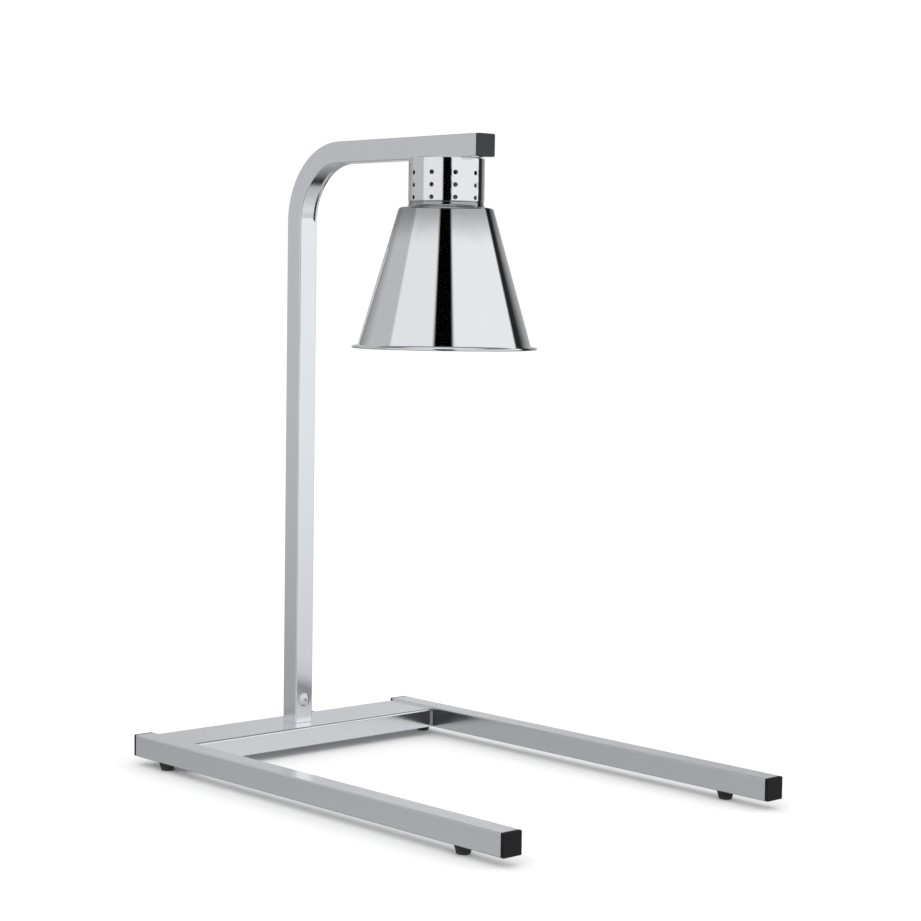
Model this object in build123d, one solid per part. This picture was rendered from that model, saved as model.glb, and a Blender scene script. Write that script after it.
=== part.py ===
from build123d import *
import math
import os

# Counter-top heat lamp warmer: a flat U base of square tube, one bent square
# tube that is post and arm, and a polished lamp head hanging from the arm.
# Millimetres. +Z up, +X towards the open front of the base, +Y to the left
# when looking forwards. Pieces are drawn with the post's axis at x = 0, y = 0,
# then saved moved back by CENTRE_X. z = 0 is the counter under the rubber feet.

# ---- driving dimensions ----------------------------------------------------
TUBE = 25.0            # square tube, outside
WALL = 1.5             # tube wall
CORNER = 1.4           # tube outside corner radius
INNER_CORNER = 0.4     # tube inside corner radius
TOTAL_H = 725.0        # counter to the arm's top face
FOOT_H = 10.0          # rubber foot height, so the rails' underside
RAIL_HALF = 196.0      # rail centre line to the middle of the base
RAIL_REAR = -37.5      # rail tube, rear end
RAIL_FRONT = 578.0     # rail tube, front end
FOOT_XS = (512.0, 8.0)  # front and rear feet
CAP_HEAD = 4.0         # plastic end cap, thickness of its head
BEAM_W = 75.0          # folded cross channel, front to back
BEAM_TOP = 33.0
BEAM_T = 2.0           # channel sheet
STUB_H = 55.0          # stub inside the post, above the channel
STUB_OUT = 21.6        # stub tube, outside and inside
STUB_IN = 17.6
BEND_OUT = 92.0        # outside radius of the bend between post and arm
DENT = 1.8             # how far the bend's inner wall is pressed in
ARM_END = 316.0        # arm tube's free end
LAMP_X = 255.5         # lamp axis
COLLAR_R = 42.2
NECK_BORE_R = 34.5     # opening where collar and shade meet
SHEET = 0.8            # collar and shade sheet
SHOULDER_Z = 645.5     # the shade's shoulder
NECK_Z = 651.5         # top of the shade's neck, where the collar sits
SHADE_TOP_R = 53.1
SHADE_LOW_R = 96.0
RIM_R = 103.4
RIM_Z = 489.5
BEAD_R = 1.5           # rolled bead at the shade's rim
VENT_R = 2.5
VENT_ROWS = (655.9, 669.5, 683.0)
VENT_COLUMNS = 10
VENT_START = -28.8     # degrees about the lamp axis from +X
BRACKET_TOP = 680.0    # strap that carries the lamp holder
STRAP_T = 1.5
SCREW_Z = 60.5         # height of the screw that holds the post
SCREW_HOLE_R = 3.2
SWITCH_Z = 205.0       # height of the rocker switch at the back of the post
ROCKER_TILT = 11.0     # the rocker's angle, its upper end pressed inwards
CORD_X = -2.5          # the cord runs down inside the stub here
CORD_TOP = 92.0        # the cord's jacket ends here, inside the post
CORD_R = 3.2
COIL_FRONT_X = -62.0   # centre lines of the wound cord's two straight sides
COIL_REAR_X = -98.0
TIE_HALF = 4.4         # cord tie, half its width along X

HALF = TUBE / 2
BORE = TUBE - 2 * WALL
RAIL_Z = FOOT_H + HALF
ARM_Z = TOTAL_H - HALF
ARM_UNDER = TOTAL_H - TUBE        # the arm's underside
ARM_FLOOR = ARM_UNDER + WALL      # inside face of its lower wall
BEND_X = BEND_OUT - HALF          # bend centre
BEND_Z = TOTAL_H - BEND_OUT
LAMP = Pos(LAMP_X, 0, 0)
# middle of the model, from the cord tie to the front caps
CENTRE_X = (RAIL_FRONT + CAP_HEAD + COIL_REAR_X - TIE_HALF) / 2

os.makedirs("parts", exist_ok=True)


# ---- helpers ----------------------------------------------------------------
def block(x0, x1, y0, y1, z0, z1):
    middle = Pos((x0 + x1) / 2, (y0 + y1) / 2, (z0 + z1) / 2)
    return middle * Box(abs(x1 - x0), abs(y1 - y0), abs(z1 - z0))


def rod_z(x, y, z0, z1, radius):
    return Pos(x, y, (z0 + z1) / 2) * Cylinder(radius, abs(z1 - z0))


def rod_x(x0, x1, y, z, radius):
    return Pos((x0 + x1) / 2, y, z) * Rot(0, 90, 0) * Cylinder(radius, abs(x1 - x0))


def rod_y(x, y0, y1, z, radius):
    return Pos(x, (y0 + y1) / 2, z) * Rot(90, 0, 0) * Cylinder(radius, abs(y1 - y0))


def hexagon(flats):
    return RegularPolygon(flats / math.sqrt(3), 6)


def hex_z(z0, z1, flats):
    return Pos(0, 0, z0) * extrude(hexagon(flats), z1 - z0)


def facing_x(x, y, z):
    """Sketch plane that looks along +X."""
    return Plane(origin=(x, y, z), x_dir=(0, 1, 0), z_dir=(1, 0, 0))


def spin(points):
    """Full turn about Z of a closed outline of (r, z) points."""
    return revolve(make_face(Polyline([(r, 0, z) for r, z in points], close=True)), Axis.Z, 360)


def spin_path(start, steps):
    """Full turn about Z of a closed outline: a step (r, z) is a straight line,
    a step (mid r, mid z, r, z) is an arc through the mid point."""
    edges = []
    here = (start[0], 0, start[1])
    for *middle, r, z in steps:
        there = (r, 0, z)
        if middle:
            edges.append(ThreePointArc(here, (middle[0], 0, middle[1]), there))
        else:
            edges.append(Line(here, there))
        here = there
    return revolve(make_face(edges), Axis.Z, 360)


def wire_along(points, radius):
    """A round wire through the points: cylinders with a ball at each corner."""
    corners = [Vector(*point) for point in points]
    body = None
    for start, end in zip(corners, corners[1:]):
        run = end - start
        length = run.length
        piece = Plane(origin=start, z_dir=run) * Pos(0, 0, length / 2) * Cylinder(radius, length)
        body = piece if body is None else body + piece
    for corner in corners[1:-1]:
        body = body + Pos(corner.X, corner.Y, corner.Z) * Sphere(radius)
    return body


def square(size, radius):
    return RectangleRounded(size, size, radius)


def save(name, *things):
    solids = []
    for thing in things:
        solids.extend(thing.solids())
    moved = [Pos(-CENTRE_X, 0, 0) * solid for solid in solids]
    shape = moved[0] if len(moved) == 1 else Compound(children=moved)
    shape.label = name
    export_step(shape, f"parts/{name}.step")


def save_lamp(name, *things):
    """Save pieces drawn about the lamp axis."""
    save(name, *[LAMP * thing for thing in things])


# ---- base --------------------------------------------------------------------
foot_spots = [(x, y) for x in FOOT_XS for y in (-RAIL_HALF, RAIL_HALF)]
RAIL_INNER_Y = RAIL_HALF - HALF


def base_rail(side):
    profile = square(TUBE, CORNER) - square(BORE, INNER_CORNER)
    rail = facing_x(RAIL_REAR, side * RAIL_HALF, RAIL_Z) * extrude(profile, RAIL_FRONT - RAIL_REAR)
    for x, y in foot_spots:
        if y * side > 0:
            rail -= rod_z(x, y, FOOT_H - 1, FOOT_H + WALL + 1, 3.45)
    return rail


def rounded_beam(half_width, z0, z1, radius):
    """Bar between the rails with its two long top edges rounded."""
    bar = block(-half_width, half_width, -RAIL_INNER_Y, RAIL_INNER_Y, z0, z1)
    return fillet(bar.edges().filter_by(Axis.Y).group_by(Axis.Z)[-1], radius)


def cross_channel():
    channel = rounded_beam(BEAM_W / 2, FOOT_H, BEAM_TOP, 3.0)
    channel -= rounded_beam(BEAM_W / 2 - BEAM_T, FOOT_H - 1, BEAM_TOP - BEAM_T, 1.0)
    return channel - rod_z(CORD_X, 0, BEAM_TOP - 3, BEAM_TOP + 1, 4.6)


def weld_bead(side_x, side_y):
    """Upright three-cornered bead where the channel meets a rail."""
    leg = 2.2
    x, y, z = side_x * BEAM_W / 2, side_y * RAIL_INNER_Y, FOOT_H + 0.8
    corners = [(x, y, z), (x + side_x * leg, y, z), (x, y - side_y * leg, z)]
    return extrude(make_face(Polyline(corners, close=True)), 18.0, dir=(0, 0, 1))


def end_cap():
    """Square cap for a tube end at the origin, its head pointing along +X."""
    body_half, hollow_half, ring_half = 9.6, 7.8, 10.8
    head = Pos(CAP_HEAD / 2, 0, 0) * Box(CAP_HEAD, TUBE - 0.1, TUBE - 0.1)
    head = fillet(head.edges().filter_by(Axis.X), CORNER)
    head = fillet(head.faces().sort_by(Axis.X)[-1].edges(), 0.7)

    def slab(x0, x1, half):
        return block(x0, x1, -half, half, -half, half)

    body = slab(-13, 0, body_half) - slab(-14, -1.5, hollow_half)
    for x in (-3.5, -7.0, -10.5):
        ring = slab(x - 0.6, x + 0.6, ring_half)
        ring = fillet(ring.edges().filter_by(Axis.X), 1.0)
        body += ring - slab(x - 1, x + 1, hollow_half)
    return head + body


save("base_rail_right", base_rail(-1))
save("base_rail_left", base_rail(1))
save("base_cross_channel", cross_channel())
save("base_weld_beads", *[weld_bead(i, j) for i in (-1, 1) for j in (-1, 1)])
save("rail_front_caps",
     *[Pos(RAIL_FRONT, side * RAIL_HALF, RAIL_Z) * end_cap() for side in (-1, 1)])
save("rail_rear_caps",
     *[Pos(RAIL_REAR, side * RAIL_HALF, RAIL_Z) * Rot(0, 0, 180) * end_cap() for side in (-1, 1)])

# (r, z) outlines about the foot's own axis
FOOT = [(2.9, 5.0), (5.3, 5.0), (5.3, 0.0), (6.6, 0.0), (7.1, 0.5), (9.6, 8.4), (9.9, 9.4),
        (9.7, 10.0), (5.4, 10.0), (5.4, 8.8), (2.9, 8.8)]
FOOT_WASHER = [(2.75, 4.0), (5.0, 4.0), (5.0, 5.0), (2.75, 5.0)]
FOOT_SCREW = [(0, 1.3), (3.0, 1.3), (4.2, 1.9), (4.6, 3.0), (4.6, 4.0), (2.45, 4.0),
              (2.45, 21.0), (2.0, 22.0), (0, 22.0)]
RIVET_NUT = [(2.6, 9.0), (4.9, 9.0), (4.9, 10.0), (3.35, 10.0), (3.35, 11.6), (4.6, 11.6),
             (4.9, 12.4), (4.6, 13.2), (3.35, 13.4), (3.35, 20.0), (2.6, 20.0)]


def foot_screw():
    """Screw with a cross slot in its head."""
    screw = spin(FOOT_SCREW)
    for turn in (0, 90):
        screw -= Rot(0, 0, turn) * block(-2.4, 2.4, -0.5, 0.5, 1.0, 2.9)
    return screw


for name, piece in (("rubber_feet", spin(FOOT)), ("foot_washers", spin(FOOT_WASHER)),
                    ("foot_screws", foot_screw()), ("foot_rivet_nuts", spin(RIVET_NUT))):
    save(name, *[Pos(x, y, 0) * piece for x, y in foot_spots])


# ---- post and arm ------------------------------------------------------------
def post_stub():
    stub = Pos(0, 0, BEAM_TOP) * extrude(square(STUB_OUT, 1.6) - square(STUB_IN, 0.5), STUB_H)
    return stub - rod_x(7.0, 12.0, 0, SCREW_Z, SCREW_HOLE_R)


def bent_bar(size, radius, z_low, x_far):
    """Solid square bar along the post, the bend and the arm."""
    section = square(size, radius)
    post = Pos(0, 0, z_low) * extrude(section, BEND_Z - z_low)
    bend = revolve(Pos(0, 0, BEND_Z) * section, Axis((BEND_X, 0, BEND_Z), (0, 1, 0)), 90)
    arm = facing_x(BEND_X, 0, ARM_Z) * extrude(section, x_far - BEND_X)
    return post + bend + arm


def bend_point(radius, degrees, y=0):
    """Point about the bend centre, from the post's side (0) up to the arm's (90)."""
    angle = math.radians(degrees)
    return (BEND_X - radius * math.cos(angle), y, BEND_Z + radius * math.sin(angle))


def dent_region(depth, half_width, spread):
    """Band between the bend's inner face and a deeper arc, with a steep ramp at
    each end, extruded across. Spread lengthens both ends along the tube."""
    inner = BEND_OUT - TUBE
    low = (BEND_X - inner, 0, BEND_Z - spread)
    far = (BEND_X + spread, 0, BEND_Z + inner)
    deep_low, deep_far = bend_point(inner + depth, 4.0), bend_point(inner + depth, 86.0)
    band = make_face([
        Line(low, deep_low), ThreePointArc(deep_low, bend_point(inner + depth, 45), deep_far),
        Line(deep_far, far), ThreePointArc(far, bend_point(inner - 3, 45), low)])
    return extrude(band, half_width, dir=(0, 1, 0), both=True)


def post_and_arm_tube():
    tube = (bent_bar(TUBE, CORNER, BEAM_TOP, ARM_END)
            - bent_bar(BORE, INNER_CORNER, BEAM_TOP - 5, ARM_END + 5))
    pressed = (dent_region(DENT + WALL, 11.2, 2.0)
               & bent_bar(TUBE - 0.2, CORNER, BEAM_TOP, ARM_END))
    tube = tube + pressed - dent_region(DENT, 9.4, 0.0)
    # outer edges of the post's lower end
    bottom = tube.edges().filter_by_position(Axis.Z, BEAM_TOP - 0.01, BEAM_TOP + 0.01)
    outer = [e for e in bottom if max(abs(e.center().X), abs(e.center().Y)) > 11.9]
    tube = chamfer(outer, 0.8)
    tube -= rod_x(10.0, 14.0, 0, SCREW_Z, SCREW_HOLE_R)
    tube -= block(-14, -10, -6.5, 6.5, SWITCH_Z - 9.5, SWITCH_Z + 9.5)
    return tube - rod_z(LAMP_X, 0, ARM_UNDER - 1, ARM_FLOOR + 1, NIPPLE_HOLE_R)


def post_screw():
    """Domed screw in the post's front face, with a hexagon socket."""
    dome = spin_path((0, 0), [(8.0, 0), (8.0, 0.4), (4.4, 1.85, 0, 2.3), (0, 0)])
    screw = Pos(HALF, 0, SCREW_Z) * Rot(0, 90, 0) * dome + rod_x(2.0, HALF, 0, SCREW_Z, 2.9)
    return screw - facing_x(HALF + 0.9, 0, SCREW_Z) * extrude(hexagon(4.0), 4)


def post_screw_nut():
    """Nut against the inside of the stub's front wall."""
    thickness = 5.0
    profile = hexagon(10.0) - Circle(3.0)
    return facing_x(STUB_IN / 2 - thickness, 0, SCREW_Z) * extrude(profile, thickness)


NIPPLE_R = 6.5
NIPPLE_HOLE_R = 6.6    # hole that clears the nipple

save("post_stub", post_stub())
save("post_and_arm_tube", post_and_arm_tube())
save("arm_end_cap", Pos(ARM_END, 0, ARM_Z) * end_cap())
save("post_screw", post_screw())
save("post_screw_nut", post_screw_nut())

# ---- lamp head: collar and shade ----------------------------------------------
FIX_CIRCLE_R = 38.0    # circle of the screws that join shade and collar
FIX_HOLE_R = 1.75
FIX_ANGLES = [math.radians(degrees) for degrees in (42, 162, 282)]
fix_spots = [(FIX_CIRCLE_R * math.cos(a), FIX_CIRCLE_R * math.sin(a)) for a in FIX_ANGLES]


def vented_collar():
    bore, side, top, low = 6.7, COLLAR_R, ARM_UNDER, NECK_Z
    collar = spin_path((bore, top), [
        (side - 1.2, top),
        (side - 0.35, top - 0.35, side, top - 1.2),
        (side, low + 1.3),
        (side - 0.38, low + 0.38, side - 1.3, low),
        (NECK_BORE_R, low),
        (NECK_BORE_R, low + SHEET),
        (side - 1.3, low + SHEET),
        (side - SHEET, low + 1.3),
        (side - SHEET, top - 1.2),
        (side - 1.2, top - SHEET),
        (bore, top - SHEET),
        (bore, top),
    ])
    for column in range(VENT_COLUMNS):
        turn = Rot(0, 0, VENT_START + 360 / VENT_COLUMNS * column)
        for z in VENT_ROWS:
            collar -= turn * rod_x(36, 46, 0, z, VENT_R)
    for x, y in fix_spots:
        collar -= rod_z(x, y, low - 2, low + 3, FIX_HOLE_R)
    return collar


def lamp_shade():
    neck, shoulder, rim = NECK_Z, SHOULDER_Z, RIM_Z
    top_r, low_r = SHADE_TOP_R, SHADE_LOW_R
    shade = spin_path((NECK_BORE_R, neck), [
        # outer face, downwards
        (40.9, neck),
        (41.55, neck - 0.25, 41.8, neck - 0.9),
        (41.8, shoulder + 3.9),
        (42.8, shoulder + 1.5, 45.2, shoulder + 0.5),
        (50.0, shoulder),
        (52.0, shoulder - 0.75, top_r, shoulder - 2.3),
        (low_r, rim + 4.7),
        (97.0, rim + 2.9, 98.8, rim + 2.1),
        (101.9, rim + 1.9),
        # inner face, back up
        (101.9, rim + 1.1),
        (98.6, rim + 1.3),
        (96.4, rim + 2.3, low_r - 0.8, rim + 4.5),
        (top_r - 0.8, shoulder - 2.5),
        (51.5, shoulder - 1.35, 50.0, shoulder - SHEET),
        (45.0, shoulder - 0.3),
        (42.2, shoulder + 0.9, 41.0, shoulder + 3.9),
        (41.0, neck - 1.1),
        (40.7, neck - SHEET),
        (NECK_BORE_R, neck - SHEET),
        (NECK_BORE_R, neck),
    ])
    shade += Pos(0, 0, rim + BEAD_R) * Torus(RIM_R - BEAD_R, BEAD_R)
    for x, y in fix_spots:
        shade -= rod_z(x, y, neck - 3, neck + 2, FIX_HOLE_R)
    return shade


shade_screw = spin([(0, NECK_Z - 3.2), (1.8, NECK_Z - 3.0), (2.5, NECK_Z - 2.2),
                    (2.7, NECK_Z - SHEET), (1.6, NECK_Z - SHEET), (1.6, NECK_Z + 5.0),
                    (0, NECK_Z + 5.0)])
shade_nut = (hex_z(NECK_Z + SHEET, NECK_Z + SHEET + 2.4, 5.5)
             - rod_z(0, 0, NECK_Z, NECK_Z + 5, 1.7))

save_lamp("vented_collar", vented_collar())
save_lamp("lamp_shade", lamp_shade())
save_lamp("shade_screws", *[Pos(x, y, 0) * shade_screw for x, y in fix_spots])
save_lamp("shade_nuts", *[Pos(x, y, 0) * shade_nut for x, y in fix_spots])

# ---- hollow nipple that hangs the lamp head ------------------------------------
TAG_Z = ARM_FLOOR + 1.0    # the earth tag lies on the nipple washer
TAG_TOP = TAG_Z + 0.8
RING_NUT_H = 4.0


def earth_tag():
    """Ring with a tongue towards the post."""
    tag = rod_z(0, 0, TAG_Z, TAG_TOP, 9.4) + block(-22, -7, -2.6, 2.6, TAG_Z, TAG_TOP)
    return tag - rod_z(0, 0, ARM_FLOOR, ARM_FLOOR + 3, NIPPLE_HOLE_R)


def ring_nut(z0):
    z1 = z0 + RING_NUT_H
    rounding = spin([(0, z0), (8.9, z0), (9.9, z0 + 0.8), (9.9, z1 - 0.8), (8.9, z1), (0, z1)])
    return (hex_z(z0, z1, 17.0) & rounding) - rod_z(0, 0, z0 - 1, z1 + 1, NIPPLE_HOLE_R)


save_lamp("threaded_nipple", rod_z(0, 0, 673.0, 711.0, NIPPLE_R) - rod_z(0, 0, 672.0, 712.0, 4.2))
save_lamp("nipple_washer", rod_z(0, 0, ARM_FLOOR, TAG_Z, 10.3)
          - rod_z(0, 0, ARM_FLOOR - 1, ARM_FLOOR + 2, NIPPLE_HOLE_R))
save_lamp("earth_tag", earth_tag())
save_lamp("nipple_nuts", *[ring_nut(z) for z in (
    TAG_TOP, ARM_UNDER - SHEET - RING_NUT_H, BRACKET_TOP, BRACKET_TOP - STRAP_T - RING_NUT_H)])

# ---- porcelain lamp holder -------------------------------------------------------
HOLDER_SCREW_Y = 15.5
TERMINAL_X = 6.0
PORCELAIN_TOP = BRACKET_TOP - STRAP_T

# (r, z) outlines about the lamp axis
PORCELAIN = [
    (0, PORCELAIN_TOP), (18.4, PORCELAIN_TOP), (19.6, PORCELAIN_TOP - 1.2),
    (19.6, PORCELAIN_TOP - 14), (18.6, PORCELAIN_TOP - 15), (18.6, PORCELAIN_TOP - 17),
    (19.6, PORCELAIN_TOP - 18), (19.6, 636.0), (18.2, 634.0), (14.6, 634.0), (14.4, 634.6),
    (14.4, 667.0), (0, 667.0)]
SCREW_SHELL = [(13.45, 636.0), (14.2, 636.0), (14.2, 664.2), (8.6, 664.2), (8.6, 663.4),
               (13.45, 663.4)]
TERMINAL_SCREW = [(0, 665.0), (1.5, 665.0), (1.5, 671.0), (3.0, 671.0), (3.0, 672.3),
                  (2.6, 672.7), (0, 672.7)]
HOLDER_SCREW = [
    (0, 669.6), (1.5, 669.6), (1.5, BRACKET_TOP), (3.0, BRACKET_TOP), (2.8, BRACKET_TOP + 1.3),
    (1.6, BRACKET_TOP + 2.0), (0, BRACKET_TOP + 2.0)]


def holder_bracket():
    """Strap across the holder with both ends folded down."""
    end_y = 23.0
    strap = block(-10, 10, -end_y, end_y, PORCELAIN_TOP, BRACKET_TOP)
    for side in (-1, 1):
        strap += block(-10, 10, side * (end_y - STRAP_T), side * end_y,
                       BRACKET_TOP - 12, BRACKET_TOP)
        strap -= rod_z(0, side * HOLDER_SCREW_Y, BRACKET_TOP - 3, BRACKET_TOP + 1, 1.7)
    edges = strap.edges().filter_by(Axis.X)
    strap = fillet(edges.filter_by_position(Axis.Z, BRACKET_TOP - 0.1, BRACKET_TOP + 0.1), 1.0)
    return strap - rod_z(0, 0, BRACKET_TOP - 3, BRACKET_TOP + 1, NIPPLE_HOLE_R)


def porcelain_holder():
    body = spin(PORCELAIN)
    body -= rod_z(0, 0, 671.0, PORCELAIN_TOP + 1, 11.0)
    for side in (-1, 1):
        body -= rod_z(0, side * HOLDER_SCREW_Y, 668.6, PORCELAIN_TOP + 1, 1.75)
        body -= rod_z(side * TERMINAL_X, 0, 666, 672, 1.6)
    return body


def screw_shell():
    """Shell with a tab to the rear terminal screw."""
    shell = spin(SCREW_SHELL)
    shell += (block(-9.6, -8.7, -2.5, 2.5, 664.0, 666.9)
              + block(-9.6, -4.2, -2.5, 2.5, 666.1, 666.9))
    return shell - rod_z(-TERMINAL_X, 0, 665, 668, 1.55)


def centre_contact():
    """Contact with a tab to the front terminal screw."""
    contact = (rod_z(0, 0, 665.9, 666.9, 4.0) + block(0, 8.6, -2.5, 2.5, 665.9, 666.9)
               + rod_z(0, 0, 662.1, 666.0, 2.4))
    contact -= rod_z(TERMINAL_X, 0, 665, 668, 1.55)
    return contact - block(-4.2, -3.4, -5, 5, 665, 668)


def slotted_screw(outline, slot_z0, slot_z1):
    return spin(outline) - block(-4, 4, -0.4, 0.4, slot_z0, slot_z1)


save_lamp("holder_bracket", holder_bracket())
save_lamp("porcelain_holder", porcelain_holder())
save_lamp("holder_screw_shell", screw_shell())
save_lamp("holder_centre_contact", centre_contact())
terminal_screw = slotted_screw(TERMINAL_SCREW, 671.9, 673)
save_lamp("holder_terminal_screws",
          *[Pos(side * TERMINAL_X, 0, 0) * terminal_screw for side in (-1, 1)])
holder_screw = slotted_screw(HOLDER_SCREW, BRACKET_TOP + 1.1, BRACKET_TOP + 3)
save_lamp("holder_screws",
          *[Pos(0, side * HOLDER_SCREW_Y, 0) * holder_screw for side in (-1, 1)])

# ---- infrared reflector bulb -------------------------------------------------------
# (r, z) outlines about the lamp axis; the glass ones are stations of smooth curves
BULB_INSULATOR = [(0, 657.0), (8.9, 657.0), (8.9, 658.1), (5.2, 660.0), (0, 660.0)]
BULB_CONTACT = [(0, 660.0), (4.8, 660.0), (4.4, 661.1), (2.6, 661.9), (0, 662.0)]
BULB_STEM = [(0, 600.0), (3.2, 600.0), (3.4, 618.0), (4.2, 626.0), (10.0, 633.0),
             (10.2, 635.0), (4.5, 630.5), (0, 630.5)]
GLASS_OUTER = [
    (12.1, 640.0), (12.2, 634.0), (13.6, 626.0), (20.0, 612.0), (35.0, 588.0), (50.0, 563.0),
    (60.0, 541.0), (63.5, 522.0), (59.5, 508.6), (48.0, 501.8), (25.0, 498.2), (0.0, 497.0)]
GLASS_INNER = [
    (10.9, 640.0), (11.0, 634.0), (12.4, 626.3), (18.9, 612.6), (33.9, 588.7), (48.8, 563.7),
    (58.8, 541.4), (62.2, 522.0), (58.4, 509.5), (47.6, 503.0), (25.0, 499.5), (0.0, 498.3)]
CURVE_STEPS = 6        # points per station
FILAMENT_R = 11.0      # radius of the filament's half circle


def bulb_screw_cap():
    pitch = 3.6
    outline = [(12.7, 635.2), (13.1, 635.2), (13.1, 638.2)]
    z = 638.2
    for _ in range(5):
        outline += [(13.25, z + 0.9), (13.25, z + 1.7), (12.75, z + 2.6), (12.75, z + 3.0),
                    (13.1, z + pitch)]
        z += pitch
    outline += [(12.2, 657.0), (9.0, 658.0), (9.0, 657.5), (11.8, 656.5), (12.35, 655.8),
                (12.35, 638.2)]
    return spin(outline)


def smooth(points):
    """Points of a Catmull-Rom curve through (r, z) stations that end on the axis."""
    curve = []
    for i in range(len(points) - 1):
        before = points[max(i - 1, 0)]
        start, end = points[i], points[i + 1]
        after = points[i + 2] if i + 2 < len(points) else (-start[0], start[1])
        for k in range(CURVE_STEPS):
            t = k / CURVE_STEPS
            curve.append(tuple(
                0.5 * (2 * b + (c - a) * t + (2 * a - 5 * b + 4 * c - d) * t * t
                       + (3 * b - a - 3 * c + d) * t ** 3)
                for a, b, c, d in zip(before, start, end, after)))
    curve.append(points[-1])
    return curve


glass_inner = smooth(GLASS_INNER)


def bulb_reflector():
    """Thin layer just inside the glass, above its widest part."""
    silvered = [(r, z) for r, z in glass_inner if 541.0 < z < 626.5]
    return spin([(r - 0.25, z) for r, z in silvered] + [(r - 0.65, z) for r, z in silvered[::-1]])


def lead_wire(side):
    foot_x, end_x = side * 1.6, side * FILAMENT_R
    return wire_along([(foot_x, 0, 599.9), (foot_x, 0, 596.0), (end_x, 0, 572.0),
                       (end_x, 0, 561.2)], 0.5)


def filament():
    """Half circle that zigzags slightly in height."""
    points = []
    for i, degrees in enumerate(range(0, 181, 15)):
        angle = math.radians(degrees)
        z = 560.0 + (0.5 if i % 2 else -0.1)
        points.append((FILAMENT_R * math.cos(angle), FILAMENT_R * math.sin(angle), z))
    return wire_along(points, 1.0)


save_lamp("bulb_screw_cap", bulb_screw_cap())
save_lamp("bulb_insulator", spin(BULB_INSULATOR))
save_lamp("bulb_contact", spin(BULB_CONTACT))
save_lamp("bulb_glass", spin(smooth(GLASS_OUTER) + glass_inner[::-1]))
save_lamp("bulb_reflector", bulb_reflector())
save_lamp("bulb_stem", spin(BULB_STEM))
save_lamp("bulb_lead_wires", *[lead_wire(side) for side in (-1, 1)])
save_lamp("bulb_filament", filament())

# ---- rocker switch on the back of the post -------------------------------------------
PIVOT_X = -12.9
ROCKER_R = 8.6
ROCKER_HALF = 4.9      # half the rocker's width
HOUSING_FRONT = 3.0


def switch_housing():
    housing = block(-14.3, -12.5, -7.5, 7.5, SWITCH_Z - 10.5, SWITCH_Z + 10.5)
    housing = fillet(housing.edges().filter_by(Axis.X), 1.2)
    housing += block(-12.6, HOUSING_FRONT, -6.4, 6.4, SWITCH_Z - 9.4, SWITCH_Z + 9.4)
    housing -= block(-15, -7.4, -5.0, 5.0, SWITCH_Z - 8.75, SWITCH_Z + 8.75)
    return housing - rod_y(PIVOT_X, -5.7, 5.7, SWITCH_Z, 1.05)


def switch_rocker():
    """Drawn about its pivot, then tilted and put in place."""
    outline = [(-1.6, 0), (-3.4, 8.2), (-3.4, 9.5), (3.5, 9.5), (3.5, -9.5), (-3.4, -9.5),
               (-3.4, -8.2)]
    face = make_face(Polyline([(x, 0, z) for x, z in outline], close=True))
    drum = Rot(90, 0, 0) * Cylinder(ROCKER_R, 2 * ROCKER_HALF)
    rocker = extrude(face, ROCKER_HALF, dir=(0, 1, 0), both=True) & drum
    rocker += Rot(90, 0, 0) * Cylinder(1.0, 11.2)
    for k in range(3):    # grip ribs on the upper half
        z = 5.2 + k * 0.9
        rocker += block(-3.5 + 0.02 * k, -2.6, -3.6, 3.6, z, z + 0.4) & drum
    return Pos(PIVOT_X, 0, SWITCH_Z) * Rot(0, ROCKER_TILT, 0) * rocker


def switch_terminal(side):
    z = SWITCH_Z + side * 5
    blade = block(HOUSING_FRONT, 9.4, -2.4, 2.4, z - 0.4, z + 0.4)
    return blade - rod_z(7.4, 0, z - 1, z + 1, 0.8)


save("switch_housing", switch_housing())
save("switch_rocker", switch_rocker())
save("switch_terminals", *[switch_terminal(side) for side in (-1, 1)])

# ---- cord, bush and plug ----------------------------------------------------------------
SLEEVE_R = CORD_R + 0.1    # bore that clears the cord
CORD_BUSH = [    # (r, z) about the cord
    (SLEEVE_R, BEAM_TOP - 4.6), (5.4, BEAM_TOP - 4.6), (6.2, BEAM_TOP - 3.6),
    (6.2, BEAM_TOP - BEAM_T), (4.5, BEAM_TOP - BEAM_T), (4.5, BEAM_TOP), (5.6, BEAM_TOP),
    (5.6, BEAM_TOP + 1.2), (5.0, BEAM_TOP + 1.8), (SLEEVE_R, BEAM_TOP + 1.8)]
save("cord_bush", Pos(CORD_X, 0, 0) * spin(CORD_BUSH))

# The cord is wound as a racetrack lying behind the cross channel.
COIL_Y0, COIL_Y1 = -110.0, 120.0    # ends of its straight sides
COIL_X = (COIL_FRONT_X + COIL_REAR_X) / 2
COIL_R = (COIL_FRONT_X - COIL_REAR_X) / 2
COIL_Z = SLEEVE_R                   # cord's centre line in the lowest turn
JOIN_Y = 40.0                       # the cord joins the racetrack here
PITCH = 6.62                        # climb per turn
TURNS = 2
STRAIGHT = COIL_Y1 - COIL_Y0
HALF_TURN = math.pi * COIL_R
LOOP = 2 * STRAIGHT + 2 * HALF_TURN
SLOPE = PITCH / LOOP
ELBOW = 13.5                        # bend radius under the post
PLUG_X, PLUG_Y, PLUG_Z = -58.0, 158.5, 13.0
PLUG_LENGTH = 26.0
PIN_LENGTH = 17.0


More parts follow.
